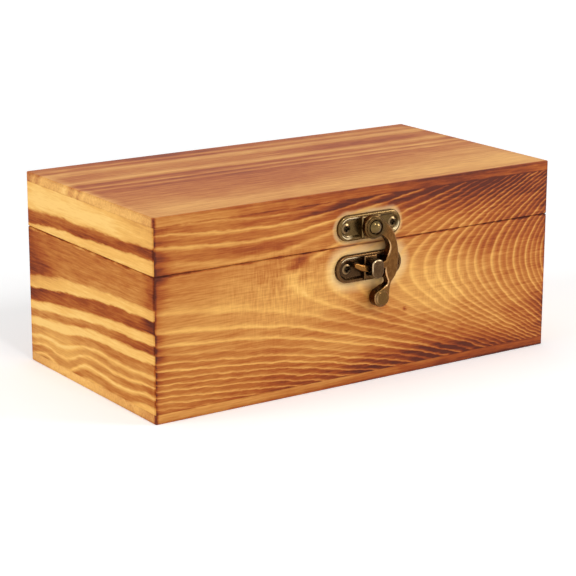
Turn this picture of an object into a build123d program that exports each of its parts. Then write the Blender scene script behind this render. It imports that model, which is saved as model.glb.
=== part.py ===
"""A hinged wooden tea box with a swing-hook latch, modelled as the separate pieces it is made of.

Frame: millimetres, +Z up, X along the front, the front faces -Y.
The origin is the middle of the underside, so the box stands on Z = 0.

The body is two mitred frames of pine boards, a deep one and a shallow one, which were one
glued-up carcass until the lid was sawn off. A thin panel closes the bottom and another the top.
Two thin boards in grooves make three compartments. Two butt hinges are screwed to the outside
of the back, and a riveted swing hook on the lid passes through a staple on the base.
"""

import os
from math import cos, degrees, hypot, radians, sin

from build123d import *

# The carcass
box_width = 200.0  # along the front
box_depth = 105.5  # front to back
box_height = 83.5  # closed, underside to top
lid_height = 23.6  # the part sawn off, with its panel
saw_gap = 0.2  # left between the two rims when the lid is shut
wall = 8.0  # board thickness
panel = 4.0  # thickness of the top and bottom panels
rim_ease = 0.35  # chamfer along the two rims
corner_sanding = 0.45  # the upright corners are rounder than the rims by this
panel_ease = 0.5  # sanding of the panels' outer edges

# The dividers
divider_count = 2
divider_thickness = 4.0
divider_height = 46.0
groove_depth = 2.0
groove_play = 0.1  # each side of a divider in its groove

# The screws, one pattern for every plate and leaf
screw_head_d = 4.2
screw_head_sink = 1.0  # depth of the countersunk cone
screw_head_crown = 0.5  # rise of the head's dome
screw_shank_d = 2.0
screw_cover = 2.4  # wood left behind a screw's point
screw_point = 1.6
screw_tip_d = 0.4
cross_length = 2.5
cross_width = 0.75
cross_depth = 0.8
screw_play = 0.05  # round the shank and the head

# The latch plates; the upper one on the lid, the lower one on the base
upper_plate_length = 32.0
upper_plate_width = 10.9
upper_screw_spacing = 23.6
upper_block_length = 9.4  # raised middle under the hook's eye
lower_plate_length = 33.4
lower_plate_width = 11.8
lower_screw_spacing = 22.8
lower_block_length = 6.6  # raised middle under the staple
plate_thickness = 1.6
plate_round = 0.9  # rounding of the plate's outer edge
pocket_floor = 0.8  # metal left under a screw head's pocket
pocket_margin = 1.4  # rim between the pocket's mouth and the plate's edge
pocket_draft = 45.0  # slope of the pocket's sides, in degrees from upright
pocket_round = 0.4  # rounding of the pocket's mouth and floor
block_height = 2.6
block_round = 0.7
latch_offset = 2.3  # the latch sits this far right of the box's middle
pivot_below_top = 16.0
latch_drop = 17.2  # pivot down to the middle of the lower plate

# The swing hook, its outline measured from the pivot
hook_thickness = 2.4
hook_gap = 0.15  # between the hook and the metal behind and before it
hook_ease = 0.8
neck_back = 1.0  # beyond the raised middle the hook is this much thicker behind
neck_back_clear = 0.3  # the thicker neck keeps this far outside the raised middle
eye_r = 5.0
eye_top_angle = 135.0  # where the outline leaves the eye, turned from straight down
eye_low_angle = 40.0  # where it comes back to the eye
shoulder_x = 9.3
shoulder_drop = 2.4
neck_x = 11.7  # right edge of the neck where the lid ends
neck_drop = 8.0
spine_x = 12.4  # furthest right
spine_drop = 14.5
throat_x = 7.9  # left edge of the neck at its furthest right
throat_drop = 9.8
root_x = 5.6  # the hook's left edge where the finger grows out of it
tail_x = 11.0  # right edge of the tail under the finger
tail_drop = 22.0
tail_width = 4.0
crook_drop = 24.7  # where the tail's left edge turns off to the thumb pad
thumb_r = 3.85
thumb_x = 4.15
thumb_drop = 30.8  # pivot down to the middle of the thumb pad
thumb_join_angle = 125.0  # where the tail meets the pad, turned from its right side
thumb_back = 1.7  # the pad stands out behind the hook
thumb_back_clear = 0.4  # the thicker end keeps this far outside the lower plate's path
thumb_pad_rise = 0.7
thumb_pad_inset = 0.6
finger_width = 3.0
finger_thickness = 2.4
finger_sag = 0.3  # the finger passes this far below the staple's middle
finger_tip_width = 2.3
finger_tip_angle = 33.5  # left of straight down
finger_root_angle = 24.0  # right of straight down
finger_ease = 0.8

# The pivot rivet
rivet_r = 1.5
rivet_play = 0.05
rivet_tail_flare = 0.5
rivet_head_r = 3.0
rivet_head_rise = 1.9
collar_r = 4.3
collar_rise = 0.6
collar_width = 0.9

# The staple that the finger passes through
staple_width = 6.0
staple_height = 8.0
staple_reach = 7.8  # its front face, out from the wood
staple_band = 1.3
staple_leg = 1.3
staple_ease = 0.75
staple_round = 2.6  # rounding of the front's corners
staple_tenon_width = 3.0
staple_tenon_step = 0.3  # shoulder all round a tenon
staple_tenon_play = 0.05

# The hinges
hinge_inset = 42.0  # end of the box to the middle of a hinge
leaf_length = 25.0
leaf_height = 11.0
leaf_thickness = 0.9
leaf_corner = 1.5
pin_r = 0.9
pin_play = 0.05
knuckle_r = 1.9
knuckle_lift = 0.2  # between a knuckle and the wood
knuckle_count = 5
knuckle_play = 0.3  # end to end between knuckles
pin_head_rise = 0.5  # the pin's domed ends
pin_head_flare = 0.5
leaf_screw_spacing = 15.0
leaf_screw_drop = 6.4  # hinge axis to the screws
leaf_clear = 0.3  # round a knuckle's path

past = 1.0  # how far a cutter runs past what it cuts

# What follows from those sizes
half_w = box_width / 2
half_d = box_depth / 2
base_top = box_height - lid_height - saw_gap
lid_bottom = box_height - lid_height
seam_z = (base_top + lid_bottom) / 2
lid_wall_top = box_height - panel
inner_width = box_width - 2 * wall
inner_depth = box_depth - 2 * wall
bay_width = (inner_width - divider_count * divider_thickness) / (divider_count + 1)
corner_round = rim_ease + corner_sanding
pivot_z = box_height - pivot_below_top
lower_plate_z = pivot_z - latch_drop
finger_r = latch_drop + finger_sag
hook_back = block_height + hook_gap
hook_front = hook_back + hook_thickness
tenon_y = staple_height / 2 - staple_leg / 2
hinge_axis_lift = knuckle_r + knuckle_lift
hinge_axis_y = half_d + hinge_axis_lift

made = {}


def slab(x0, x1, y0, y1, z0, z1):
    """A block between two corners."""
    at = Pos((x0 + x1) / 2, (y0 + y1) / 2, (z0 + z1) / 2)
    return at * Box(x1 - x0, y1 - y0, z1 - z0)


def on_front(shape, x, z):
    """Stands a shape drawn flat, with its thickness up, on the front board at x and z."""
    return Plane(origin=(x, -half_d, z), x_dir=(1, 0, 0), z_dir=(0, -1, 0)) * shape


def on_back(shape, x, z):
    """Stands a shape drawn flat on the back board, so that its right is the box's left."""
    return Plane(origin=(x, half_d, z), x_dir=(-1, 0, 0), z_dir=(0, 1, 0)) * shape


# Screws and the holes they need

def screw(seat):
    """A countersunk cross-head screw along Z, its head's rim at the height of its seat."""
    head_r = screw_head_d / 2
    shank_r = screw_shank_d / 2
    crown_r = (head_r**2 + screw_head_crown**2) / (2 * screw_head_crown)
    crown = Pos(0, 0, seat + screw_head_crown - crown_r) * Sphere(crown_r)
    crown &= Pos(0, 0, seat + screw_head_crown / 2) * Cylinder(head_r, screw_head_crown)
    cone = Pos(0, 0, seat - screw_head_sink / 2) * Cone(shank_r, head_r, screw_head_sink)
    shank_top = seat - screw_head_sink
    point_top = screw_cover + screw_point - wall
    shank = Pos(0, 0, (shank_top + point_top) / 2) * Cylinder(shank_r, shank_top - point_top)
    point = Pos(0, 0, point_top - screw_point / 2) * Cone(screw_tip_d / 2, shank_r, screw_point)
    cut = Pos(0, 0, seat + screw_head_crown - cross_depth / 2)
    cross = cut * Box(cross_length, cross_width, cross_depth)
    cross += cut * Box(cross_width, cross_length, cross_depth)
    return crown + cone + shank + point - cross


def screw_hole(seat, top):
    """What a screw needs cut away, with play, open upwards to the height of top."""
    head_r = screw_head_d / 2 + screw_play
    shank_r = screw_shank_d / 2 + screw_play
    cone = Pos(0, 0, seat - screw_head_sink / 2) * Cone(shank_r, head_r, screw_head_sink)
    mouth = Pos(0, 0, (seat + top) / 2) * Cylinder(head_r, top - seat)
    bottom = screw_cover - wall - screw_play
    shank = Pos(0, 0, (seat + bottom) / 2) * Cylinder(shank_r, seat - bottom)
    return cone + mouth + shank


def pilot_holes(places, seat):
    """The screws' holes as the board under a plate or leaf sees them."""
    return [place(screw_hole(seat, seat + past)) for place in places]


# Boards

def mitred_frame(z0, z1, rim):
    """Four mitred boards between two heights, their rim at the top (-1) or the bottom (0)."""
    ring = slab(-half_w, half_w, -half_d, half_d, z0, z1)
    ring = fillet(ring.edges().filter_by(Axis.Z), corner_round)
    ring = chamfer(ring.edges().group_by(Axis.Z)[rim], rim_ease)
    inner_w = half_w - wall
    inner_d = half_d - wall
    ring -= slab(-inner_w, inner_w, -inner_d, inner_d, z0 - past, z1 + past)
    meet_x = half_w - half_d
    plans = {
        "front": [(-half_w, -half_d), (half_w, -half_d), (meet_x, 0), (-meet_x, 0)],
        "back": [(-half_w, half_d), (half_w, half_d), (meet_x, 0), (-meet_x, 0)],
        "left": [(-half_w, -half_d), (-half_w, half_d), (-meet_x, 0)],
        "right": [(half_w, -half_d), (half_w, half_d), (meet_x, 0)],
    }
    boards = {}
    for side, plan in plans.items():
        wedge = extrude(make_face(Polyline(*plan, close=True)), z1 - z0)
        boards[side] = ring & (Pos(0, 0, z0) * wedge)
    return boards


def flat_panel(z0, z1, outer):
    """A panel over the whole footprint, its outer face at the top (-1) or the bottom (0)."""
    board = slab(-half_w, half_w, -half_d, half_d, z0, z1)
    board = fillet(board.edges().filter_by(Axis.Z), corner_round)
    return fillet(board.edges().group_by(Axis.Z)[outer], panel_ease)


def divider_x(index):
    """The middle of a divider, counted from the left."""
    return -inner_width / 2 + (index + 1) * bay_width + (index + 0.5) * divider_thickness


def divider_grooves():
    """The grooves that the dividers slide down, in the front and the back board alike."""
    half_slot = divider_thickness / 2 + groove_play
    reach = inner_depth / 2 + groove_depth
    cuts = []
    for index in range(divider_count):
        x = divider_x(index)
        cuts.append(slab(x - half_slot, x + half_slot, -reach, reach, panel, base_top + past))
    return cuts


def divider(index):
    """One thin board across the box, standing on the bottom panel."""
    x = divider_x(index)
    reach = inner_depth / 2 + groove_depth - groove_play
    half_t = divider_thickness / 2
    board = slab(x - half_t, x + half_t, -reach, reach, panel, panel + divider_height)
    top_edges = board.edges().filter_by(Axis.Y).sort_by(Axis.Z)[-2:]
    return fillet(top_edges, divider_thickness / 4)


# The latch

def plate_body(length, width, block_length):
    """A cast plate with rounded edges, a pocket round each screw and a raised middle."""
    body = extrude(SlotOverall(length, width), plate_thickness)
    body = fillet(body.edges().group_by(Axis.Z)[-1], plate_round)
    mouth = SlotOverall(length - 2 * pocket_margin, width - 2 * pocket_margin)
    mouth = Pos(0, 0, plate_thickness) * mouth
    depth = plate_thickness - pocket_floor
    pocket = extrude(mouth, depth, dir=(0, 0, -1), taper=pocket_draft)
    body -= fillet(pocket.edges().group_by(Axis.Z)[0], pocket_round)
    block = extrude(Rectangle(block_length, width - 2 * plate_round), block_height)
    return body + fillet(block.edges().group_by(Axis.Z)[-1], block_round)


def plate_screw_places(z, spacing):
    """Where the two screws of a latch plate stand."""
    return [lambda s, x=x: on_front(Pos(x, 0) * s, latch_offset, z) for x in (-spacing / 2, spacing / 2)]


def latch_plate(body, z, spacing, cut):
    """A latch plate set on the front, cut for its screws and for what is riveted into it."""
    body -= cut
    for x in (-spacing / 2, spacing / 2):
        body -= Pos(x, 0) * screw_hole(pocket_floor, plate_thickness + past)
    return on_front(body, latch_offset, z)


def rivet_shape(play):
    """The rivet's round body and spread tail, up to its head, with play round it."""
    length = hook_front + hook_gap
    shank = Pos(0, 0, length / 2) * Cylinder(rivet_r + play, length)
    flare = rivet_tail_flare
    tail = Pos(0, 0, flare / 2) * Cone(rivet_r + flare + play, rivet_r + play, flare)
    return shank + tail


def tenons(play):
    """The staple's two tenons through the plate, with play round them."""
    width = staple_tenon_width + 2 * play
    thickness = staple_leg - 2 * staple_tenon_step + 2 * play
    pair = Part()
    for y in (-tenon_y, tenon_y):
        pair += Pos(0, y, block_height / 2) * Box(width, thickness, block_height)
    return pair


def ring_point(radius, angle):
    """A point on a ring round the pivot; angles run from straight down, left is negative."""
    return (radius * sin(radians(angle)), -radius * cos(radians(angle)))


def hook_outline():
    """The hook's flat shape without its finger: eye, neck, spine, tail and thumb pad."""
    eye_top = ring_point(eye_r, eye_top_angle)
    eye_low = ring_point(eye_r, eye_low_angle)
    thumb_right = (thumb_x + thumb_r, -thumb_drop)
    join = radians(thumb_join_angle)
    thumb_left = (thumb_x + thumb_r * cos(join), thumb_r * sin(join) - thumb_drop)
    outer = Spline(
        eye_top,
        (shoulder_x, -shoulder_drop),
        (neck_x, -neck_drop),
        (spine_x, -spine_drop),
        (tail_x, -tail_drop),
        thumb_right,
        tangents=((1, -1), (0, -1)),
    )
    pad = ThreePointArc(thumb_right, (thumb_x, -thumb_drop - thumb_r), thumb_left)
    root = (root_x, -finger_r)
    tail = Spline(
        thumb_left,
        (tail_x - tail_width, -crook_drop),
        root,
        tangents=((1, 0.4), (0, 1)),
    )
    inner = Spline(root, (throat_x, -throat_drop), eye_low, tangents=((0.15, 1), (-1, 0.4)))
    eye = ThreePointArc(eye_low, (-eye_r, 0), eye_top)
    return make_face([outer, pad, tail, inner, eye])


def finger_outline():
    """The finger: a piece of a ring round the pivot, tapered to a round tip."""
    half_root = finger_width / 2
    half_tip = finger_tip_width / 2
    nose_angle = finger_tip_angle - degrees(0.45 * finger_tip_width / finger_r)
    top_root = ring_point(finger_r - half_root, finger_root_angle)
    low_root = ring_point(finger_r + half_root, finger_root_angle)
    top_tip = ring_point(finger_r - half_tip, -nose_angle)
    low_tip = ring_point(finger_r + half_tip, -nose_angle)
    top = ThreePointArc(top_root, ring_point(finger_r - half_root, 0), top_tip)
    nose = ThreePointArc(top_tip, ring_point(finger_r, -finger_tip_angle), low_tip)
    low = ThreePointArc(low_tip, ring_point(finger_r + half_root, 0), low_root)
    return make_face([top, nose, low, Line(low_root, top_root)])


def swing_hook():
    """The cast hook: eye, neck, finger, tail and thumb pad, lying flat round the pivot."""
    body = extrude(hook_outline(), hook_thickness)
    body = fillet(body.edges().group_by(Axis.Z)[-1], min(hook_ease, hook_thickness / 3))
    finger = extrude(finger_outline(), finger_thickness)
    rims = finger.edges().group_by(Axis.Z)
    finger = fillet(rims[-1] + rims[0], min(finger_ease, finger_thickness / 3))
    body += Pos(0, 0, (hook_thickness - finger_thickness) / 2) * finger
    rear = extrude(hook_outline(), -thumb_back)
    plate_end_r = lower_plate_width / 2
    plate_end = hypot(lower_plate_length / 2 - plate_end_r, latch_drop)
    rear -= Cylinder(plate_end + plate_end_r + thumb_back_clear, 4 * thumb_back)
    middle_corner = hypot(upper_block_length / 2, upper_plate_width / 2 - plate_round)
    rear += extrude(hook_outline(), -neck_back) - Cylinder(middle_corner + neck_back_clear, 4 * neck_back)
    thumb = Pos(thumb_x, -thumb_drop)
    pad_z = hook_thickness + thumb_pad_rise / 2
    pad = thumb * Pos(0, 0, pad_z) * Cylinder(thumb_r - thumb_pad_inset, thumb_pad_rise)
    pad = chamfer(pad.edges().group_by(Axis.Z)[-1], thumb_pad_rise * 0.8)
    collar = Pos(0, 0, hook_thickness + collar_rise / 2) * Cylinder(collar_r, collar_rise)
    collar = fillet(collar.edges().group_by(Axis.Z)[-1], collar_rise * 0.8)
    well = Pos(0, 0, hook_thickness + collar_rise) * Cylinder(collar_r - collar_width, 2 * collar_rise)
    bore = Cylinder(rivet_r + rivet_play, 4 * hook_thickness)
    body = body + rear + pad + (collar - well) - bore
    return on_front(Pos(0, 0, hook_back) * body, latch_offset, pivot_z)


def pivot_rivet():
    """The domed rivet that the hook turns on, its tail spread behind the plate."""
    head_base = hook_front + hook_gap
    dome_r = (rivet_head_r**2 + rivet_head_rise**2) / (2 * rivet_head_rise)
    dome = Pos(0, 0, head_base + rivet_head_rise - dome_r) * Sphere(dome_r)
    dome &= Pos(0, 0, head_base + rivet_head_rise / 2) * Cylinder(rivet_head_r, rivet_head_rise)
    return on_front(dome + rivet_shape(0), latch_offset, pivot_z)


def staple():
    """The loop on the lower plate, open to left and right, its tenons through the plate."""
    side = staple_width / 2
    top = staple_height / 2
    loop = slab(-side, side, -top, top, block_height, staple_reach)
    loop = fillet(loop.edges().filter_by(Axis.Z), staple_round)
    loop = fillet(loop.edges().group_by(Axis.Z)[-1], staple_ease)
    gap_top = top - staple_leg
    gap_front = staple_reach - staple_band
    gap = slab(-side - past, side + past, -gap_top, gap_top, block_height, gap_front)
    gap = fillet(gap.edges().filter_by(Axis.X).group_by(Axis.Z)[-1], staple_leg / 2)
    return on_front(loop - gap + tenons(0), latch_offset, lower_plate_z)


# The hinges

def knuckle_spans(first):
    """The stretches of the barrel that one leaf's knuckles take, from the first or second on."""
    pitch = leaf_length / knuckle_count
    spans = []
    for index in range(first, knuckle_count, 2):
        start = -leaf_length / 2 + index * pitch
        end = start + pitch
        if index > 0:
            start += knuckle_play / 2
        if index < knuckle_count - 1:
            end -= knuckle_play / 2
        spans.append((start, end))
    return spans


def leaf_screw_places(x, up):
    """Where the two screws of a hinge leaf stand on the back."""
    offset = leaf_screw_drop if up else -leaf_screw_drop
    sides = (-leaf_screw_spacing / 2, leaf_screw_spacing / 2)
    return [lambda s, side=side: on_back(Pos(side, 0) * s, x, seam_z + offset) for side in sides]


def hinge_leaf(x, up):
    """One leaf with its knuckles rolled round the pin; the base leaf has the end knuckles."""
    way = 1 if up else -1
    low, high = sorted((0.0, way * leaf_height))
    body = slab(-leaf_length / 2, leaf_length / 2, low, high, 0, leaf_thickness)
    corners = body.edges().filter_by(Axis.Z).group_by(Axis.Y)[-1 if up else 0]
    body = fillet(corners, leaf_corner)
    reach = knuckle_r + leaf_clear
    for start, end in knuckle_spans(0 if up else 1):
        cut_start = start - (knuckle_play if start > -leaf_length / 2 else past)
        cut_end = end + (knuckle_play if end < leaf_length / 2 else past)
        body -= slab(cut_start, cut_end, -reach, reach, -past, hinge_axis_lift + knuckle_r)
    barrel = Pos(0, 0, hinge_axis_lift) * Rot(0, 90, 0)
    web_low, web_high = sorted((0.0, way * knuckle_r))
    for start, end in knuckle_spans(1 if up else 0):
        web = slab(start, end, web_low, web_high, 0, hinge_axis_lift)
        body += web & (barrel * Cylinder(hinge_axis_lift, leaf_length))
        body += barrel * Pos(0, 0, (start + end) / 2) * Cylinder(knuckle_r, end - start)
    body -= barrel * Cylinder(pin_r + pin_play, leaf_length + 2 * past)
    for side in (-leaf_screw_spacing / 2, leaf_screw_spacing / 2):
        body -= Pos(side, way * leaf_screw_drop) * screw_hole(leaf_thickness, leaf_thickness + past)
    return on_back(body, x, seam_z)


def hinge_pin(x):
    """The pin through all the knuckles, with a domed head at each end."""
    rod = Cylinder(pin_r, leaf_length + 2 * pin_head_rise)
    head_z = leaf_length / 2 + pin_head_rise / 2
    for way in (-1, 1):
        head = Pos(0, 0, way * head_z) * Cylinder(pin_r + pin_head_flare, pin_head_rise)
        rim = head.edges().group_by(Axis.Z)[-1 if way > 0 else 0]
        rod += fillet(rim, pin_head_rise * 0.8)
    return Pos(x, hinge_axis_y, seam_z) * Rot(0, 90, 0) * rod


# Putting it together

base_boards = mitred_frame(panel, base_top, -1)
lid_boards = mitred_frame(lid_bottom, lid_wall_top, 0)
hinge_xs = {"left": hinge_inset - half_w, "right": half_w - hinge_inset}

for cut in divider_grooves():
    base_boards["front"] -= cut
    base_boards["back"] -= cut

upper_places = plate_screw_places(pivot_z, upper_screw_spacing)
lower_places = plate_screw_places(lower_plate_z, lower_screw_spacing)
lid_boards["front"] -= pilot_holes(upper_places, pocket_floor)
base_boards["front"] -= pilot_holes(lower_places, pocket_floor)
for hinge_x in hinge_xs.values():
    lid_boards["back"] -= pilot_holes(leaf_screw_places(hinge_x, True), leaf_thickness)
    base_boards["back"] -= pilot_holes(leaf_screw_places(hinge_x, False), leaf_thickness)

for side, board in base_boards.items():
    made[f"base_{side}_board"] = board
for side, board in lid_boards.items():
    made[f"lid_{side}_board"] = board
made["bottom_panel"] = flat_panel(0, panel, 0)
made["top_panel"] = flat_panel(lid_wall_top, box_height, -1)
for number in range(divider_count):
    made[f"divider_{number + 1}"] = divider(number)

upper_body = plate_body(upper_plate_length, upper_plate_width, upper_block_length)
lower_body = plate_body(lower_plate_length, lower_plate_width, lower_block_length)
rivet_cut = rivet_shape(rivet_play)
tenon_cut = tenons(staple_tenon_play)
made["latch_upper_plate"] = latch_plate(upper_body, pivot_z, upper_screw_spacing, rivet_cut)
made["latch_lower_plate"] = latch_plate(lower_body, lower_plate_z, lower_screw_spacing, tenon_cut)
made["latch_hook"] = swing_hook()
made["latch_rivet"] = pivot_rivet()
made["latch_staple"] = staple()
made["latch_upper_screws"] = Compound([place(screw(pocket_floor)) for place in upper_places])
made["latch_lower_screws"] = Compound([place(screw(pocket_floor)) for place in lower_places])

for side, hinge_x in hinge_xs.items():
    made[f"{side}_hinge_base_leaf"] = hinge_leaf(hinge_x, False)
    made[f"{side}_hinge_lid_leaf"] = hinge_leaf(hinge_x, True)
    made[f"{side}_hinge_pin"] = hinge_pin(hinge_x)
    for half, up in (("base", False), ("lid", True)):
        places = leaf_screw_places(hinge_x, up)
        screws = [place(screw(leaf_thickness)) for place in places]
        made[f"{side}_hinge_{half}_screws"] = Compound(screws)

os.makedirs("parts", exist_ok=True)
for name, shape in made.items():
    export_step(shape, f"parts/{name}.step")
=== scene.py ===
"""The looks of the torched pine tea box and its antique brass latch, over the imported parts.

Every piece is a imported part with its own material; nothing is moved. Places inside the
materials are millimetres in the box's frame: X along the front, Y to the back, Z up.
"""

from math import radians

import bpy
from mathutils import Euler, Matrix, Vector


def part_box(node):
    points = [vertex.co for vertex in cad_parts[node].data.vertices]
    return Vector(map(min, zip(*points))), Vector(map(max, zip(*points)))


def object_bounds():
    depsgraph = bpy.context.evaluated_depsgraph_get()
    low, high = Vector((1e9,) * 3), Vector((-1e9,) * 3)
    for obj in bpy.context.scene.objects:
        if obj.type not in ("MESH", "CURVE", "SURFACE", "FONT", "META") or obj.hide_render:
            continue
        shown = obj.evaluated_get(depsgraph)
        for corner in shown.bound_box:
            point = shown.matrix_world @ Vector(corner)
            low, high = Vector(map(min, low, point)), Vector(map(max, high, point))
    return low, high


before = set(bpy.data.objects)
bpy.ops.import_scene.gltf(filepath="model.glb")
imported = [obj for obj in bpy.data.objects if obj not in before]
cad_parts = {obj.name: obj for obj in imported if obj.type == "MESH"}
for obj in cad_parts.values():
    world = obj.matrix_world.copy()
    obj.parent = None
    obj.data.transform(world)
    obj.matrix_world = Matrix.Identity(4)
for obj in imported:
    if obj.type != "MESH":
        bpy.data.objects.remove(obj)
packed_low, packed_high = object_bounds()
bpy.ops.object.select_all(action="DESELECT")

MM = 1000.0  # millimetres in a metre
FAR = 1000.0  # millimetres, more than the box's depth

# The box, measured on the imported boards
half_w = packed_high.x * MM
half_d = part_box("base_back_board")[1].y * MM
box_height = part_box("top_panel")[1].z * MM
panel = (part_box("top_panel")[1].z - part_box("top_panel")[0].z) * MM
seam_z = (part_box("base_front_board")[1].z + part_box("lid_front_board")[0].z) * MM / 2


def linear(shade):
    """The linear colour of an sRGB hex value."""
    parts = [int(shade[k : k + 2], 16) / 255 for k in (1, 3, 5)]
    return [p / 12.92 if p <= 0.04045 else ((p + 0.055) / 1.055) ** 2.4 for p in parts] + [1.0]


def add(tree, kind, feeds=(), stops=(), **settings):
    """Adds one node with its settings, links and colour stops.

    A feed is a value, a socket or a node, whose first output is then taken."""
    made = tree.nodes.new("ShaderNode" + kind)
    for name, value in settings.items():
        setattr(made, name, value)
    for place, feed in feeds.items() if isinstance(feeds, dict) else enumerate(feeds):
        if isinstance(feed, bpy.types.Node):
            feed = feed.outputs[0]
        if isinstance(feed, bpy.types.NodeSocket):
            tree.links.new(feed, made.inputs[place])
        elif feed is not None:
            made.inputs[place].default_value = feed
    for k, (place, shade) in enumerate(stops):
        element = made.color_ramp.elements[k] if k < 2 else made.color_ramp.elements.new(place)
        element.position = place
        element.color = linear(shade) if isinstance(shade, str) else (shade, shade, shade, 1)
    return made


def new_material(name):
    """An empty material and its tree."""
    material = bpy.data.materials.new(name)
    material.use_nodes = True
    material.node_tree.nodes.clear()
    return material, material.node_tree


def dress(material, *nodes):
    """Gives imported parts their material."""
    for name in nodes:
        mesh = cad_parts[name].data
        mesh.materials.clear()
        mesh.materials.append(material)


# Torched pine

# Char runs from 0, wood the flame only warmed, to 1, wood burnt purple-brown.
CHAR_SHADES = (
    (0.00, "#F8C974"),
    (0.15, "#EEB55D"),
    (0.30, "#DFA250"),
    (0.45, "#CD8B41"),
    (0.60, "#B96E2A"),
    (0.75, "#A04C13"),
    (0.88, "#7E320B"),
    (1.00, "#561E08"),
)
CLEAN_SHADES = ((0.0, "#EFD3A0"), (0.5, "#E5BE85"), (1.0, "#CD9555"))
EVEN_LATE = 0.36  # the share of late wood at which a ring neither darkens nor pales its place
# Level lines drawn darker along the saw cut and the glue lines of the two panels, as
# (height, reach in millimetres, char)
DARK_LEVEL_LINES = ((seam_z, 0.7, 0.3), (box_height - panel, 0.5, 0.12), (panel, 0.5, 0.08))


def places(tree):
    """Object coordinates in millimetres, whole and apart."""
    at = add(tree, "VectorMath", [add(tree, "TexCoord").outputs["Object"]], operation="SCALE")
    at.inputs["Scale"].default_value = MM
    split = add(tree, "SeparateXYZ", [at])
    return at, split.outputs[0], split.outputs[1], split.outputs[2]


def skin_and_edge(tree, x, y, z):
    """Millimetres below the box's outside, and to its nearest edge."""
    off_x = add(tree, "Math", [x], operation="ABSOLUTE")
    off_y = add(tree, "Math", [y], operation="ABSOLUTE")
    to_side = add(tree, "Math", [half_w, off_x], operation="SUBTRACT")
    to_face = add(tree, "Math", [half_d, off_y], operation="SUBTRACT")
    to_top = add(tree, "Math", [box_height, z], operation="SUBTRACT")
    to_end = add(tree, "Math", [to_top, z], operation="MINIMUM")
    low = add(tree, "Math", [to_side, to_face], operation="MINIMUM")
    high = add(tree, "Math", [to_side, to_face], operation="MAXIMUM")
    skin = add(tree, "Math", [low, to_end], operation="MINIMUM")
    # The second smallest of the three distances is the one to the nearest edge
    second = add(tree, "Math", [high, to_end], operation="MINIMUM")
    edge = add(tree, "Math", [low, second], operation="MAXIMUM")
    return skin, edge


def grit(tree, at, size, detail=2.0, rough=0.5):
    """Noise about 0 whose lumps have the given size in millimetres along X, Y and Z."""
    scaled = add(tree, "VectorMath", [at, size], operation="DIVIDE")
    noise = add(tree, "TexNoise", {"Vector": scaled, "Scale": 1.0, "Detail": detail, "Roughness": rough})
    return add(tree, "Math", [noise, 0.5], operation="SUBTRACT")


def patches(tree, at, marks, total):
    """Adds soft lens-shaped marks to a value.

    A mark is (middle, half sizes, turn about Y in degrees, amount)."""
    for middle, half, turn, amount in marks:
        feeds = {"Vector": at, "Location": middle, "Rotation": (0, radians(turn), 0), "Scale": half}
        local = add(tree, "Mapping", feeds, vector_type="TEXTURE")
        away = add(tree, "VectorMath", [local], operation="LENGTH").outputs["Value"]
        mark = add(tree, "MapRange", [away, 0.0, 1.0, amount, 0.0], interpolation_type="SMOOTHSTEP")
        total = add(tree, "Math", [total, mark], operation="ADD")
    return total


def from_bar(tree, at, plate):
    """Millimetres from the middle line of a round-ended plate: (x, z, half width, half height)."""
    middle_x, middle_z, half_long, half_high = plate
    here = add(tree, "VectorMath", [at, (middle_x, 0, middle_z)], operation="SUBTRACT")
    here = add(tree, "VectorMath", [here], operation="ABSOLUTE")
    # Distance along Y doesn't count
    here = add(tree, "VectorMath", [here, (half_long - half_high, FAR, 0)], operation="SUBTRACT")
    here = add(tree, "VectorMath", [here, (0, 0, 0)], operation="MAXIMUM")
    return add(tree, "VectorMath", [here], operation="LENGTH").outputs["Value"]


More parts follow.
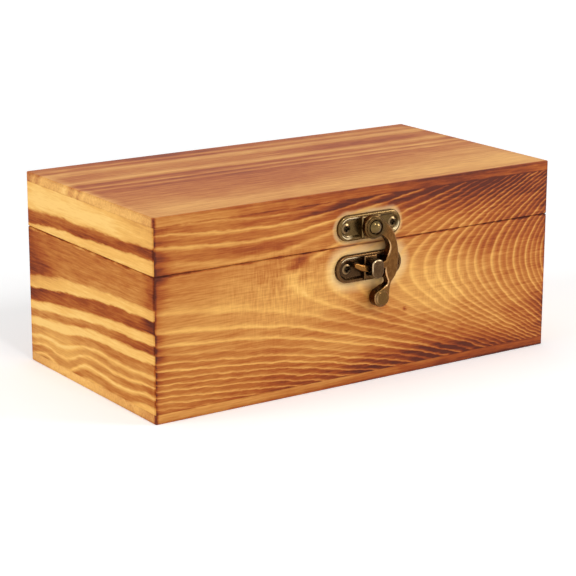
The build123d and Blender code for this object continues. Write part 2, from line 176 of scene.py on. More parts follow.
def torched_pine(
    name,
    rings,
    flame=(),
    scorch=(),
    along="X",
    base=0.5,
    contrast=0.34,
    bite=0.3,
    gloss=0.25,
    brushed=(),
    crisp=(),
    shielded=(),
):
    """Pine burnt with a torch and brushed: the soft early wood chars, the hard late wood stays
    pale and stands a little proud. The eye gets dark bands between pale lines, a dark line at
    every edge and along the saw cut, fine fibres along the grain and a satin face.

    rings(tree, at, x, y, z) gives the share of late wood, 0 to 1. The flame marks are broad
    and also deepen the rings; the scorch marks are small; brush marks show where brushed says;
    crisp marks keep to their outline, as a burnt arris does.
    Metal screwed on shielded the wood round it, given as (plate, millimetres)."""
    material, tree = new_material(name)
    at, x, y, z = places(tree)
    skin, edge = skin_and_edge(tree, x, y, z)
    late = rings(tree, at, x, y, z)

    def lying(long, thin):
        """The size of a lump that lies along the grain."""
        return (long, thin, thin) if along == "X" else (thin, long, thin)

    # Fibres run with the grain; drawn 0.8 mm thick, since finer ones would not show
    fibre = grit(tree, at, lying(15.0, 0.8), 3.0, 0.7)
    streak = grit(tree, at, lying(55.0, 1.7), 2.0)
    dapple = grit(tree, at, lying(10.0, 2.2), 3.0, 0.65)
    cloud = grit(tree, at, (34.0, 34.0, 18.0), 3.0, 0.6)

    # The marks have wandering outlines, off by up to 6 mm sideways and 2 mm up or down
    wander = add(tree, "VectorMath", [at, (15.0, 15.0, 5.0)], operation="DIVIDE")
    wander = add(tree, "TexNoise", {"Vector": wander, "Scale": 1.0, "Detail": 3.0}).outputs["Color"]
    wander = add(tree, "VectorMath", [wander, (0.5, 0.5, 0.5)], operation="SUBTRACT")
    loose = add(tree, "VectorMath", [wander, (12.0, 12.0, 4.0), at], operation="MULTIPLY_ADD")

    # The longer the flame stayed, the more the rings stand out
    tone = add(tree, "Math", [cloud, 0.24, base], operation="MULTIPLY_ADD")
    tone = patches(tree, loose, flame, tone)
    deeper = add(tree, "MapRange", [tone, 0.2, 0.8, -0.6 * contrast, -1.2 * contrast])
    late_sided = add(tree, "Math", [late, EVEN_LATE], operation="SUBTRACT")
    char = add(tree, "Math", [late_sided, deeper, tone], operation="MULTIPLY_ADD")
    char = patches(tree, loose, scorch, char)
    char = patches(tree, at, crisp, char)

    # Brush marks cross the grain; drawn 0.7 mm thick, since finer ones would not show
    worked = add(tree, "Math", [cloud, 0.3], operation="MULTIPLY")
    worked = patches(tree, loose, brushed, worked)
    worked = add(tree, "Math", [worked, 0.0], operation="MAXIMUM")
    cross = grit(tree, at, (0.7, 0.7, 4.5), 1.0)
    cross = add(tree, "Math", [cross, worked], operation="MULTIPLY")
    for noise, weight in ((fibre, 0.5), (streak, 0.18), (dapple, 0.26), (cross, 1.2)):
        char = add(tree, "Math", [noise, weight, char], operation="MULTIPLY_ADD")

    # The flame bites a thin dark line along every edge, and a faint wide one behind it
    ragged = grit(tree, at, (9.0, 9.0, 9.0), 3.0, 0.6)
    for reach, swing, share in ((1.6, 1.8, 1.0), (9.0, 7.0, 0.3)):
        near = add(tree, "Math", [ragged, swing, edge], operation="MULTIPLY_ADD")
        feeds = [near, 0.1, reach, share * bite, 0.0]
        burn = add(tree, "MapRange", feeds, interpolation_type="SMOOTHSTEP")
        char = add(tree, "Math", [char, burn], operation="ADD")
    # The level lines are thin and broken
    for height, reach, amount in DARK_LEVEL_LINES:
        off = add(tree, "Math", [z, height], operation="SUBTRACT")
        off = add(tree, "Math", [off], operation="ABSOLUTE")
        near = add(tree, "Math", [ragged, 2.2, off], operation="MULTIPLY_ADD")
        line = add(tree, "MapRange", [near, 0.0, reach, amount, 0.0], interpolation_type="SMOOTHSTEP")
        char = add(tree, "Math", [char, line], operation="ADD")

    # Metal spared the wood round it, fully to 0.2 mm from its rim and less and less to its reach
    spared = 0.0
    for plate, reach in shielded:
        rim = plate[3]
        away = add(tree, "Math", [ragged, 2.0, from_bar(tree, at, plate)], operation="MULTIPLY_ADD")
        feeds = [away, rim + 0.2, rim + reach, 1.0, 0.0]
        here = add(tree, "MapRange", feeds, interpolation_type="SMOOTHSTEP")
        spared = add(tree, "Math", [spared, here], operation="MAXIMUM")
    char = add(tree, "Math", [spared, -0.26, char], operation="MULTIPLY_ADD")
    torched = add(tree, "ValToRGB", [char], CHAR_SHADES)

    # Under the skin the wood is clean, and beside the metal half so
    grain = add(tree, "Math", [late, 0.75, fibre], operation="MULTIPLY_ADD")
    clean = add(tree, "ValToRGB", [grain], CLEAN_SHADES)
    depth = add(tree, "MapRange", [skin, 0.5, 2.2, 1.0, 0.0], interpolation_type="SMOOTHSTEP")
    depth = add(tree, "Math", [spared, -0.5, depth], operation="MULTIPLY_ADD")
    shade = add(tree, "Mix", {0: depth, 6: clean, 7: torched}, data_type="RGBA")

    # Late wood stands proud, and charred wood is duller than bare wood
    relief = add(tree, "Math", [fibre, 0.5, late], operation="MULTIPLY_ADD")
    bump = add(tree, "Bump", {"Strength": 0.3, "Distance": 0.00012, "Height": relief})
    rough = add(tree, "MapRange", [char, 0.0, 1.0, 0.46, 0.62])
    feeds = {
        "Base Color": shade.outputs[2],
        "Roughness": rough,
        "Normal": bump,
        "Specular IOR Level": gloss,
    }
    add(tree, "OutputMaterial", [add(tree, "BsdfPrincipled", feeds)])
    return material


# How a cathedral board's rings waver, as (lump size, millimetres)
WAVERS = (((60.0, 40.0, 16.0), 2.2), ((11.0, 11.0, 5.0), 1.8), ((3.5, 3.5, 1.8), 0.8))
PITH_DEPTH = 60.0  # millimetres behind the left end of the face
# Across a ring the late wood builds up slowly and ends at once
RING_PROFILE = (
    (0.0, 1.05),
    (0.07, 0.6),
    (0.15, 0.06),
    (0.42, 0.0),
    (0.7, 0.2),
    (0.86, 0.72),
    (0.94, 1.1),
)
# Ring widths in millimetres, from the heart outwards
HEART_RING, INNER_RING, MIDDLE_RING, OUTER_RING = 1.46, 1.18, 1.62, 1.42
# Where they change, in millimetres past the pith's depth
INNER_FROM, MIDDLE_FROM, OUTER_FROM = -14.1, 0.0, 6.5


def cathedral(mirror=False, lean=0.8):
    """Rings of a board cut beside the heart, which bends away from the face.

    The pith nears the face to the right, so the rings show as nearly level lines at the left
    and as nested arcs, open to the right, at the right. At the left they lie lean millimetres
    further in."""

    def rings(tree, at, x, y, z):
        across = add(tree, "Math", [x, -1.0 if mirror else 1.0, half_w], operation="MULTIPLY_ADD")
        down = add(tree, "Math", [box_height, z], operation="SUBTRACT")
        off_y = add(tree, "Math", [y], operation="ABSOLUTE")
        under = add(tree, "Math", [half_d, off_y], operation="SUBTRACT")
        for size, reach in WAVERS:
            down = add(tree, "Math", [grit(tree, at, size, 2.0), reach, down], operation="MULTIPLY_ADD")

        # The middle line of the arcs sinks from 29 mm below the top to 41 mm
        slope = add(tree, "Math", [across, -0.000122, 0.0866], operation="MULTIPLY_ADD")
        middle = add(tree, "Math", [slope, across, 28.95], operation="MULTIPLY_ADD")
        off = add(tree, "Math", [down, middle], operation="SUBTRACT")
        off_squared = add(tree, "Math", [off, 2.0], operation="POWER")
        # The pith nears the face from 17.7 mm on
        rise = add(tree, "Math", [across, 17.7], operation="SUBTRACT")
        rise = add(tree, "Math", [rise, 0.0], operation="MAXIMUM")
        rise = add(tree, "Math", [rise, 2.574], operation="POWER")
        deep_squared = add(tree, "Math", [rise, -0.004, PITH_DEPTH**2], operation="MULTIPLY_ADD")
        radius = add(tree, "Math", [off_squared, deep_squared], operation="ADD")
        radius = add(tree, "Math", [radius], operation="SQRT")
        radius = add(tree, "Math", [under, 0.7, radius], operation="MULTIPLY_ADD")
        shift = add(tree, "MapRange", [across, 50.0, 110.0, lean, 0.0], interpolation_type="SMOOTHSTEP")
        radius = add(tree, "Math", [radius, shift], operation="ADD")

        past_pith = add(tree, "Math", [radius, -PITH_DEPTH], operation="ADD")
        total = add(tree, "Math", [past_pith, 1 / MIDDLE_RING], operation="MULTIPLY")
        changes = (
            (MIDDLE_FROM, 1 / INNER_RING - 1 / MIDDLE_RING, "MINIMUM"),
            (INNER_FROM, 1 / HEART_RING - 1 / INNER_RING, "MINIMUM"),
            (OUTER_FROM, 1 / OUTER_RING - 1 / MIDDLE_RING, "MAXIMUM"),
        )
        for start, change, side in changes:
            part = add(tree, "Math", [past_pith, start], operation="SUBTRACT")
            part = add(tree, "Math", [part, 0.0], operation=side)
            total = add(tree, "Math", [part, change, total], operation="MULTIPLY_ADD")
        turn = add(tree, "Math", [total], operation="FRACT")
        late = add(tree, "ValToRGB", [turn], RING_PROFILE)
        # The late wood is thin at the left and broad among the arcs at the right
        thin = add(tree, "MapRange", [across, 70.0, 160.0, 1.1, 0.6])
        late = add(tree, "Math", [late, thin], operation="POWER")
        # No two rings are alike: each has its own strength, which changes in the early wood
        number = add(tree, "Math", [total, 0.6], operation="ADD")
        number = add(tree, "Math", [number], operation="FLOOR")
        own = add(tree, "TexWhiteNoise", {"W": number}, noise_dimensions="1D")
        strength = add(tree, "MapRange", [own.outputs["Value"], 0.0, 1.0, 0.55, 1.15])
        return add(tree, "Math", [late, strength], operation="MULTIPLY")

    return rings


def broad_bands(edges, drop=8.7, lid_drop=4.4):
    """Rings of a board cut flat, given as (millimetres below the top at the front, late wood).

    Toward the back the bands sink, by up to lid_drop on the lid's board; on the base's board
    they sink by nothing at the saw cut and by drop from 24 mm below it."""

    def rings(tree, at, x, y, z):
        down = add(tree, "Math", [box_height, z], operation="SUBTRACT")
        back = add(tree, "MapRange", [y, -45.0, 50.0, 0.0, 1.0])
        back = add(tree, "Math", [back, 1.2], operation="POWER")
        cut = box_height - seam_z
        on_lid = add(tree, "Math", [down, cut], operation="LESS_THAN")
        lid_fall = add(tree, "Math", [down, lid_drop / cut], operation="MULTIPLY")
        fall = add(tree, "MapRange", [down, cut, cut + 24.0, 0.0, drop])
        fall = add(tree, "Math", [on_lid, lid_fall, fall], operation="MULTIPLY_ADD")
        sunk = add(tree, "Math", [back, fall], operation="MULTIPLY")
        down = add(tree, "Math", [down, sunk], operation="SUBTRACT")
        off_x = add(tree, "Math", [x], operation="ABSOLUTE")
        under = add(tree, "Math", [half_w, off_x], operation="SUBTRACT")
        down = add(tree, "Math", [under, 0.6, down], operation="MULTIPLY_ADD")
        # Waves, stronger low on the board
        height = add(tree, "MapRange", [down, 48.0, 72.0, 2.0, 8.0])
        swell = grit(tree, at, (40.0, 24.0, 40.0), 0.0)
        wave = add(tree, "Math", [height, swell], operation="MULTIPLY")
        down = add(tree, "Math", [down, wave], operation="ADD")
        for size, reach in (((12.0, 12.0, 5.0), 1.6), ((1.4, 4.0, 0.8), 1.1)):
            down = add(tree, "Math", [grit(tree, at, size, 2.0), reach, down], operation="MULTIPLY_ADD")
        place = add(tree, "Math", [down, box_height], operation="DIVIDE")
        return add(tree, "ValToRGB", [place], [(mm / box_height, late) for mm, late in edges])

    return rings


def straight_stripes(edges, slant=0.6):
    """Rings of a panel that run straight along X, given as (millimetres from the back, late wood).

    They lie slant millimetres further back for each millimetre below the top."""
    span = 2 * half_d + 2  # the panel's depth, and 2 mm for the waves

    def rings(tree, at, x, y, z):
        back = add(tree, "Math", [half_d, y], operation="SUBTRACT")
        deep = add(tree, "Math", [box_height, z], operation="SUBTRACT")
        back = add(tree, "Math", [deep, slant, back], operation="MULTIPLY_ADD")
        for size, reach in (((120.0, 30.0, 20.0), 5.0), ((30.0, 6.0, 4.0), 0.8)):
            back = add(tree, "Math", [grit(tree, at, size, 1.0), reach, back], operation="MULTIPLY_ADD")
        place = add(tree, "Math", [back, span], operation="DIVIDE")
        return add(tree, "ValToRGB", [place], [(mm / span, late) for mm, late in edges])

    return rings


def plate_outline(name):
    """The middle of a plate and its half sizes, as (x, z, half width, half height) in millimetres."""
    low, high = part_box(name)
    middle, half = (low + high) * MM / 2, (high - low) * MM / 2
    return middle.x, middle.z, half.x, half.z


# Marks of the flame: a plus burns the wood darker, a minus leaves it paler
front_flame = (
    # Paler to the left and the right of the latch
    ((-45, -52, 41), (90, 60, 27), 0, -0.24),
    ((40, -52, 38), (44, 60, 25), 8, -0.24),
    # Darker along the top and toward the right end
    ((40, -52, 87), (140, 60, 24), 0, 0.46),
    ((105, -52, 60), (62, 60, 30), 0, 0.18),
    ((70, -52, 72), (60, 60, 16), 0, 0.18),
    ((30, -52, 81), (30, 60, 9), 0, 0.06),
    ((56, -52, 52), (34, 60, 10), 0, 0.12),
    ((105, -52, 18), (34, 60, 14), 0, 0.16),
    # Darker along the bottom
    ((30, -52, -3), (135, 60, 24), 0, 0.42),
    # Paler below the latch and close by its left
    ((-12, -52, 17), (46, 60, 9), 0, -0.13),
    ((-24, -52, 46), (26, 60, 14), 0, -0.06),
)
front_scorch = (
    # Streaks on the lid
    ((-52, -52, 66.3), (34, 30, 4.6), 2, 0.13),
    ((-28, -52, 74.9), (15, 30, 1.8), -3, 0.24),
    ((-12, -52, 75.6), (12, 30, 2.4), -4, 0.26),
    ((12, -52, 76.4), (11, 30, 1.6), -3, 0.22),
    # A burn to the left of the latch
    ((-30, -52, 56.0), (10, 30, 5.5), 0, 0.4),
    ((-31, -52, 49.5), (6, 30, 3.0), 0, 0.2),
    # A small spot to the lower right of the hook
    ((22, -52, 28.3), (1.6, 30, 1.0), 0, 0.3),
    # Streaks low on the right
    ((43, -52, 8), (30, 30, 4), 3, 0.2),
    ((82, -52, 18.5), (11, 30, 5), 25, 0.08),
    # The left end
    ((-101, -52, 60), (11, 30, 22), 0, 0.26),
    ((-102, -52, 28), (8, 30, 36), 0, 0.24),
)
front_brushed = (((-36, -52, 46), (54, 60, 26), 0, 0.36), ((40, -52, 36), (34, 60, 18), 0, 0.24))
upper_outline, lower_outline = plate_outline("latch_upper_plate"), plate_outline("latch_lower_plate")
front_pine = torched_pine(
    "Torched pine, front boards",
    cathedral(),
    front_flame,
    front_scorch,
    base=0.54,
    bite=0.2,
    brushed=front_brushed,
    shielded=((upper_outline, 2.4), (lower_outline, 6.0)),
)
dress(front_pine, "base_front_board", "lid_front_board")

back_flame = (
    ((20, 52, 38), (85, 60, 27), 0, -0.2),
    ((-60, 52, 86), (120, 60, 24), 0, 0.36),
    ((60, 52, -2), (100, 60, 24), 0, 0.4),
)
back_scorch = (((30, 52, 70), (26, 30, 2.6), 3, 0.18), ((-15, 52, 30), (16, 30, 2.0), -3, 0.14))
back_pine = torched_pine(
    "Torched pine, back boards", cathedral(mirror=True, lean=0.3), back_flame, back_scorch
)
dress(back_pine, "base_back_board", "lid_back_board")

LEFT_BANDS = (
    (4.4, 0.85),
    (8.0, 1.0),
    (12.2, 0.9),
    (13.2, 0.2),
    (17.0, 0.1),
    (17.8, 0.85),
    (23.2, 0.85),
    (24.4, 0.2),
    (33.0, 0.25),
    (36.4, 0.35),
    (37.4, 0.8),
    (40.8, 0.9),
    (41.6, 0.0),
    (46.4, 0.05),
    (47.4, 0.85),
    (50.4, 0.95),
    (51.2, 0.3),
    (53.8, 0.2),
    (54.8, 0.9),
    (58.0, 0.95),
    (58.8, 0.25),
    (62.4, 0.35),
    (63.4, 0.9),
    (65.4, 0.3),
    (66.8, 0.4),
    (67.8, 0.85),
    (69.0, 0.15),
    (71.2, 0.2),
    (72.4, 0.9),
    (74.4, 0.1),
    (76.6, 0.2),
    (77.8, 0.8),
)
left_flame = (
    ((-100, 52, 46), (60, 34, 30), 0, 0.14),
    ((-100, -52, 44), (60, 14, 22), 0, 0.18),
    ((-100, 34, 14), (60, 56, 20), 0, -0.2),
    ((-100, 20, 76), (60, 76, 8), 0, -0.12),
    ((-100, -42, 75), (60, 42, 11), 0, 0.32),
    ((-100, -10, 65), (60, 40, 8), 0, 0.12),
    ((-100, 38, 41), (60, 32, 9), 0, 0.22),
    ((-100, -10, 9), (60, 46, 10), 0, -0.16),
    ((-100, -40, 30), (60, 26, 9), 0, 0.18),
)
left_pine = torched_pine(
    "Torched pine, left boards",
    broad_bands(LEFT_BANDS),
    left_flame,
    along="Y",
    contrast=0.86,
    bite=0.2,
    gloss=0.1,
)
dress(left_pine, "base_left_board", "lid_left_board")

RIGHT_BANDS = (
    (3.0, 0.3),
    (6.0, 0.9),
    (9.0, 0.2),
    (15.0, 0.1),
    (16.5, 0.9),
    (20.0, 0.8),
    (21.5, 0.15),
    (29.0, 0.2),
    (30.5, 0.95),
    (38.0, 0.85),
    (39.0, 0.1),
    (43.0, 0.2),
    (44.5, 0.9),
    (49.0, 0.9),
    (50.0, 0.2),
    (53.0, 0.1),
    (54.0, 0.9),
    (57.0, 0.2),
    (60.0, 0.9),
    (62.0, 0.2),
    (65.0, 0.9),
    (67.0, 0.2),
    (69.5, 0.9),
    (71.5, 0.1),
    (75.0, 0.8),
    (78.0, 0.2),
)
right_flame = (((100, -52, 45), (60, 40, 34), 0, 0.14), ((100, 30, 80), (60, 60, 16), 0, 0.12))
right_pine = torched_pine(
    "Torched pine, right boards",
    broad_bands(RIGHT_BANDS, drop=5.0),
    right_flame,
    along="Y",
    base=0.44,
    contrast=0.65,
)
dress(right_pine, "base_right_board", "lid_right_board")

TOP_STRIPES = (
    (0.0, 0.5),
    (5.5, 0.35),
    (8.8, 0.75),
    (12.0, 0.35),
    (15.5, 0.9),
    (18.0, 0.85),
    (22.0, 0.55),
    (30.0, 0.5),
    (34.5, 0.95),
    (37.5, 0.5),
    (39.5, 0.15),
    (42.0, 0.35),
    (44.2, 0.7),
    (46.8, 0.15),
    (50.4, 0.65),
    (53.0, 0.25),
    (58.0, 0.4),
    (66.0, 0.5),
    (76.0, 0.6),
    (84.0, 0.75),
    (94.0, 0.95),
    (102.0, 0.9),
)
top_flame = (
    ((60, 26, 83), (70, 16, 30), 0, 0.2),
    ((-36, 46, 83), (50, 16, 30), 0, 0.14),
    ((64, 8, 83), (60, 14, 30), 0, -0.14),
    ((-40, -14, 83), (75, 30, 30), 0, 0.04),
    ((-40, -34, 83), (80, 26, 30), 0, 0.14),
    ((100, -24, 83), (80, 40, 30), 0, -0.16),
    ((-103, 0, 83), (8, 80, 20), 0, -0.3),
)
# The front arris is burnt dark, the left one is spared, and the corner between them is burnt
top_arris = (
    ((60, -54, 81), (150, 3.2, 16), 0, 0.66),
    ((-50, -54, 81), (70, 3.2, 16), 0, 0.24),
    ((-101, 0, 81), (3.4, 90, 16), 0, -0.34),
    ((-100.5, -53, 81), (2.4, 2.4, 16), 0, 0.6),
)
top_pine = torched_pine(
    "Torched pine, top panel",
    straight_stripes(TOP_STRIPES),
    top_flame,
    base=0.7,
    contrast=0.5,
    bite=0.14,
    crisp=top_arris,
)
dress(top_pine, "top_panel")

bottom_flame = (((60, -52, 2), (150, 30, 20), 0, 0.44), ((-103, 10, 2), (16, 80, 20), 0, -0.4))
bottom_arris = (((-100.5, -53, 2), (2.4, 2.4, 16), 0, 0.6),)
bottom_pine = torched_pine(
    "Torched pine, bottom panel",
    straight_stripes(TOP_STRIPES, slant=-0.9),
    bottom_flame,
    bite=0.14,
    crisp=bottom_arris,
)
dress(bottom_pine, "bottom_panel")

divider_pine = torched_pine("Plain pine, dividers", cathedral(mirror=True, lean=0.0), along="Y")
dress(divider_pine, "divider_1", "divider_2")


# Antique brass

LIP_IN = 1.3  # millimetres inside a latch plate's rim, where a painted highlight line runs along the lip of its pocket
PLATE_FACE = 1.6  # millimetres from the board to a latch plate's face
POCKET_SHADE = 1.0  # millimetres from the board, above which a pocket's black fades
HEAD_LEVEL = 0.9995  # a level_from at which nearly all of a screw head counts as rounded


def antique_brass(
    name,
    hollow_and_shade,
    face,
    rubbed_and_lit,
    level_from=0.97,
    plate=None,
    glints=(),
    glint_colour="#E0C79C",
    side_rub_and_sheen=0.4,
    marks=(),
    heads=(),
    ring=(),
    haze=(0.2, 0.36),
):
    """Brass blackened with acid and taken back to the metal where a hand or a wheel reaches. The eye
    gets dark sides and hollows, brown faces, pale warm edges and small sharp highlights. The dark
    sides are painted shade, and the pale edges are part wear and part painted highlight.

    The colour follows the way a spot faces: sides take the dark colour as painted shade, rounded
    edges take most of the rubbed_and_lit colour, as wear and as painted highlight, level faces,
    from level_from on, some. In a plate the pockets are black at the bottom. Where glints says, as
    (middle, half sizes), an edge takes glint_colour as a painted highlight and loses all its black.
    Each mark tints a part: (shade, middle, half sizes, amount). Black lies round the heads, as
    (x, z, radius), and the ring's stops give how much, from the middle of a head to twice its
    radius. Haze is the least and the most roughness."""
    material, tree = new_material(name)
    at, _, y, _ = places(tree)
    # Level faces are stained unevenly, in blotches and in specks
    blotch = grit(tree, at, (1.8, 1.8, 1.8), 3.0, 0.6)
    speck = grit(tree, at, (0.4, 0.4, 0.4), 2.0)
    stain = add(tree, "Math", [blotch, 1.1, 0.12], operation="MULTIPLY_ADD")
    stain = add(tree, "Math", [speck, 0.5, stain], operation="MULTIPLY_ADD")
    shade = add(tree, "Mix", {0: stain, 6: linear(face), 7: linear(rubbed_and_lit)}, data_type="RGBA")

    # Rounded edges take the rubbed_and_lit colour, as wear and as painted highlight
    way = add(tree, "SeparateXYZ", [add(tree, "TexCoord").outputs["Normal"]])
    facing = add(tree, "Math", [way.outputs[1]], operation="ABSOLUTE")
    edge = add(tree, "ValToRGB", [facing], ((0.25, 0.0), (0.5, 0.9), (0.86, 0.8), (level_from, 0.0)))
    # Painted highlights: where glints says, an edge takes glint_colour and loses its dark
    painted_glint = patches(tree, at, [(middle, half, 0, 1.8) for middle, half in glints], 0.0)
    painted_glint = add(tree, "Math", [painted_glint, 1.0], operation="MINIMUM")
    lip = 0.0
    if plate:
        # The glints keep off the plate's outer edge, and along the lip of a pocket they paint a highlight
        # line
        rim = plate[3]
        away = from_bar(tree, at, plate)
        off = add(tree, "Math", [away, rim - LIP_IN], operation="SUBTRACT")
        off = add(tree, "Math", [off], operation="ABSOLUTE")
        lip = add(tree, "MapRange", [off, 0.15, 0.4, 1.0, 0.0])
        lip = add(tree, "Math", [lip, painted_glint], operation="MULTIPLY")
        inside = add(tree, "MapRange", [away, rim - 1.1, rim - 0.8, 1.0, 0.0])
        painted_glint = add(tree, "Math", [painted_glint, inside], operation="MULTIPLY")
    # Edges facing left and right get less of the edge colour, which is wear and painted highlight, except
    # under the glints
    sideways = add(tree, "Math", [way.outputs[0]], operation="ABSOLUTE")
    side_share = add(tree, "MapRange", [sideways, 0.25, 0.6, 1.0, side_rub_and_sheen])
    side_share = add(tree, "Math", [side_share, painted_glint], operation="MAXIMUM")
    edge = add(tree, "Math", [edge, side_share], operation="MULTIPLY")
    edge = add(tree, "Math", [edge, lip], operation="MAXIMUM")
    metal = add(tree, "Mix", {0: painted_glint, 6: linear(rubbed_and_lit), 7: linear(glint_colour)}, data_type="RGBA")
    shade = add(tree, "Mix", {0: edge, 6: shade.outputs[2], 7: metal.outputs[2]}, data_type="RGBA")
    for tint, middle, half, amount in marks:
        here = patches(tree, at, ((middle, half, 0, 2.0 * amount),), 0.0)
        here = add(tree, "Math", [here, amount], operation="MINIMUM")
        shade = add(tree, "Mix", {0: here, 6: shade.outputs[2], 7: linear(tint)}, data_type="RGBA")

    # Painted shade: faces turned sideways, the sides of each piece, take the dark colour
    black = add(tree, "ValToRGB", [facing], ((0.1, 0.9), (0.42, 0.0)))
    if plate:
        # The pockets' floors lie halfway between the board and the plate's face
        out = add(tree, "Math", [y], operation="ABSOLUTE")
        out = add(tree, "Math", [out, half_d], operation="SUBTRACT")
        feeds = [out, POCKET_SHADE, PLATE_FACE, 0.6, 0.0]
        sunk = add(tree, "MapRange", feeds, interpolation_type="SMOOTHSTEP")
        black = add(tree, "Math", [black, sunk], operation="MAXIMUM")
        black = add(tree, "Math", [black, painted_glint], operation="SUBTRACT", use_clamp=True)
    if heads:
        nearest = 2.0
        for head_x, head_z, radius in heads:
            here = add(tree, "VectorMath", [at, (head_x, 0, head_z)], operation="SUBTRACT")
            here = add(tree, "VectorMath", [here, (0.5 / radius, 0, 0.5 / radius)], operation="MULTIPLY")
            away = add(tree, "VectorMath", [here], operation="LENGTH").outputs["Value"]
            nearest = add(tree, "Math", [nearest, away], operation="MINIMUM")
        ringed = add(tree, "ValToRGB", [nearest], ring)
        black = add(tree, "Math", [black, ringed], operation="MAXIMUM")
    shade = add(tree, "Mix", {0: black, 6: shade.outputs[2], 7: linear(hollow_and_shade)}, data_type="RGBA")

    rough = add(tree, "MapRange", [speck, -0.2, 0.2, *haze])
    bump = add(tree, "Bump", {"Strength": 0.25, "Distance": 0.00006, "Height": blotch})
    feeds = {"Base Color": shade.outputs[2], "Metallic": 1.0, "Roughness": rough, "Normal": bump}
    add(tree, "OutputMaterial", [add(tree, "BsdfPrincipled", feeds)])
    return material


def screw_heads(name):
    """The two heads of a latch plate's screws, each as (x, z, radius) in millimetres."""
    middle_x, middle_z, half_long, radius = plate_outline(name)
    return [(middle_x + side * (half_long - radius), middle_z, radius) for side in (-1, 1)]


pivot_x, pivot_z, _, _ = plate_outline("latch_rivet")
upper_heads, lower_heads = screw_heads("latch_upper_screws"), screw_heads("latch_lower_screws")
# Black lies in a plate just outside each screw head
seat_ring = ((0.44, 0.0), (0.5, 0.95), (0.58, 0.9), (0.72, 0.0))
# Painted highlights on the pocket's upper and lower lip, and on the lip at the right
upper_glints = (
    ((pivot_x - 11, -55, pivot_z + 3.7), (9, 20, 2.2)),
    ((pivot_x - 12.5, -55, pivot_z - 3.7), (4.5, 20, 2.2)),
    ((pivot_x + 14.5, -55, pivot_z - 2), (3.5, 20, 3.5)),
)
upper_brass = antique_brass(
    "Antique brass, upper plate",
    "#544226",
    "#5E4628",
    "#8A7046",
    plate=upper_outline,
    glints=upper_glints,
    heads=upper_heads,
    ring=seat_ring,
)
dress(upper_brass, "latch_upper_plate")
# Painted highlight along the upper lip of the lower plate's pocket
lower_glints = (((pivot_x - 10, -55, pivot_z - 13.2), (9, 20, 1.8)),)
lower_brass = antique_brass(
    "Antique brass, lower plate",
    "#38281A",
    "#543A22",
    "#7C5A34",
    plate=lower_outline,
    glints=lower_glints,
    heads=lower_heads,
    ring=seat_ring,
)
dress(lower_brass, "latch_lower_plate")
# The hook is olive round its rivet, coppery at the finger and olive again on the thumb pad
hook_marks = (
    ("#4C3C22", (pivot_x, -57, pivot_z), (9, 20, 9), 0.8),
    ("#8E602C", (pivot_x - 6, -57, pivot_z - 17), (8, 20, 5), 0.8),
    ("#624A28", (pivot_x + 2, -57, pivot_z - 31), (7.5, 20, 7.5), 0.65),
)
# Painted highlights on the hook's left edges, down the neck, the tail and the thumb pad
hook_glints = (
    ((pivot_x + 8.5, -57, pivot_z - 9), (2.6, 20, 7)),
    ((pivot_x + 6.5, -57, pivot_z - 22), (2.4, 20, 7)),
    ((pivot_x + 0.4, -57, pivot_z - 31), (2.2, 20, 4.5)),
)
hook_brass = antique_brass(
    "Antique brass, coppery hook",
    "#472810",
    "#64401F",
    "#946838",
    glints=hook_glints,
    glint_colour="#DCAE78",
    side_rub_and_sheen=0.9,
    marks=hook_marks,
)
dress(hook_brass, "latch_hook")
# Painted highlights on the staple's left and top edges
staple_glints = (((pivot_x - 2.5, -60, pivot_z - 15), (2, 20, 6)), ((pivot_x, -60, pivot_z - 13), (4, 20, 1.6)))
staple_brass = antique_brass(
    "Antique brass, staple", "#26180E", "#4C3622", "#7E6244", glints=staple_glints, glint_colour="#CCB088"
)
dress(staple_brass, "latch_staple")
rivet_brass = antique_brass("Antique brass, rivet", "#30260F", "#745E38", "#625030", haze=(0.16, 0.26))
dress(rivet_brass, "latch_rivet")
# Black lies in the middle of a screw head, in and round its cross recess
head_ring = ((0.0, 0.9), (0.3, 0.85), (0.36, 0.0))
latch_screw_brass = antique_brass(
    "Antique brass, latch screws",
    "#1C120A",
    "#7A6040",
    "#8C7250",
    level_from=HEAD_LEVEL,
    heads=upper_heads + lower_heads,
    ring=head_ring,
)
dress(latch_screw_brass, "latch_upper_screws", "latch_lower_screws")
screw_brass = antique_brass(
    "Antique brass, hinge screws", "#1E140A", "#32241A", "#7E6546", level_from=HEAD_LEVEL
)
hinge_brass = antique_brass("Antique brass, hinges", "#33281A", "#665030", "#9A7E52")
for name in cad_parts:
    if "hinge" in name:
        dress(screw_brass if name.endswith("screws") else hinge_brass, name)


# The studio

WHITE = "#FFFFFF"


def seen_or_mirrored(tree):
    """1 for what is seen straight, in a mirror or through glass, and 0 for what lights the box."""
    ray = add(tree, "LightPath")
    seen = ray.outputs["Is Camera Ray"]
    for kind in ("Is Glossy Ray", "Is Transmission Ray"):
        seen = add(tree, "Math", [seen, ray.outputs[kind]], operation="MAXIMUM")
    return seen


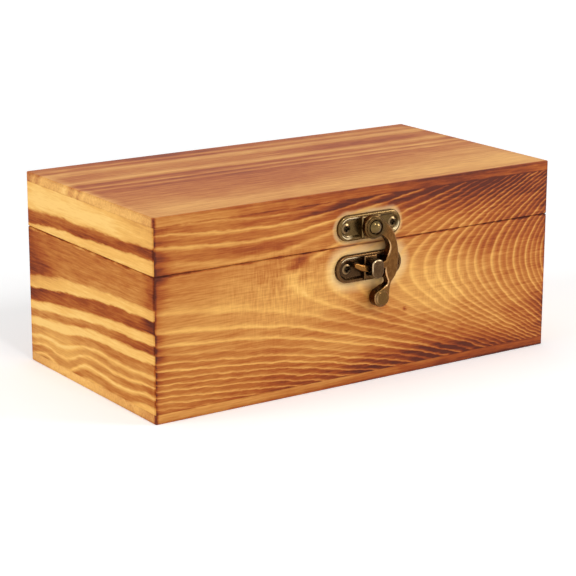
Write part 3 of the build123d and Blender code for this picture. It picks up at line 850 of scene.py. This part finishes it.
def studio_white(name, colour, glow, far_glow):
    """Matt white paper that also glows a little where it is seen, so that it reads as white.

    The glow rises to far_glow away from the box and keeps the shadow under it."""
    material, tree = new_material(name)
    seen = seen_or_mirrored(tree)
    at = add(tree, "TexCoord").outputs["Object"]
    away = add(tree, "VectorMath", [at], operation="LENGTH").outputs["Value"]
    reach = add(tree, "MapRange", [away, 0.2, 1.3, glow, far_glow], interpolation_type="SMOOTHSTEP")
    strength = add(tree, "Math", [seen, reach], operation="MULTIPLY")
    paper = add(tree, "BsdfDiffuse", {"Color": linear(colour)})
    light = add(tree, "Emission", {"Color": linear(WHITE), "Strength": strength})
    add(tree, "OutputMaterial", [add(tree, "AddShader", [paper, light])])
    return material


floor_size = 12.0
bpy.ops.mesh.primitive_plane_add(size=floor_size, location=(0, 0, 0))
floor = bpy.context.active_object
floor.name = "studio_floor"
white_paper = studio_white("White paper floor", "#F4F4F4", glow=0.22, far_glow=0.75)
floor.data.materials.append(white_paper)

world = bpy.data.worlds.new("Studio")
world.use_nodes = True
bpy.context.scene.world = world
sky = world.node_tree
sky.nodes.clear()
lighting, shown = 0.4, 1.0
level = add(sky, "MapRange", [seen_or_mirrored(sky), 0.0, 1.0, lighting, shown])
add(sky, "OutputWorld", [add(sky, "Background", {"Color": linear(WHITE), "Strength": level})])

BOX_MIDDLE = Vector((0, 0, 0.04))


def softbox(name, place, size, watts):
    """A square white lamp at a place, turned to the middle of the box."""
    light = bpy.data.lights.new(name, "AREA")
    light.energy = watts
    light.size = size
    holder = bpy.data.objects.new(name, light)
    holder.location = place
    holder.rotation_euler = (BOX_MIDDLE - Vector(place)).to_track_quat("-Z", "Y").to_euler()
    bpy.context.scene.collection.objects.link(holder)


softbox("Key, right front", (0.95, -0.85, 0.55), 0.4, 7.2)
softbox("Front, above the camera", (-0.1, -0.9, 0.95), 0.25, 4.0)
softbox("Fill, left", (-1.2, 0.15, 0.6), 0.7, 7.4)
softbox("Top", (0.0, 0.3, 1.3), 0.8, 2.1)

# The camera, solved from the box's corners in the photograph
camera = bpy.data.cameras.new("Camera")
camera.sensor_width = 36.0
camera.lens = 124.25
eye = (-0.47436, -0.69149, 0.25652)
swing, tilt, roll = radians(-34.37), radians(90 - 15.18), radians(0.175)
turns = [Euler(angles).to_matrix() for angles in ((0, 0, swing), (tilt, 0, 0), (0, 0, roll))]
holder = bpy.data.objects.new("Camera", camera)
holder.matrix_world = Matrix.Translation(eye) @ (turns[0] @ turns[1] @ turns[2]).to_4x4()
bpy.context.scene.collection.objects.link(holder)
bpy.context.scene.camera = holder
bpy.context.scene.view_settings.view_transform = "Standard"
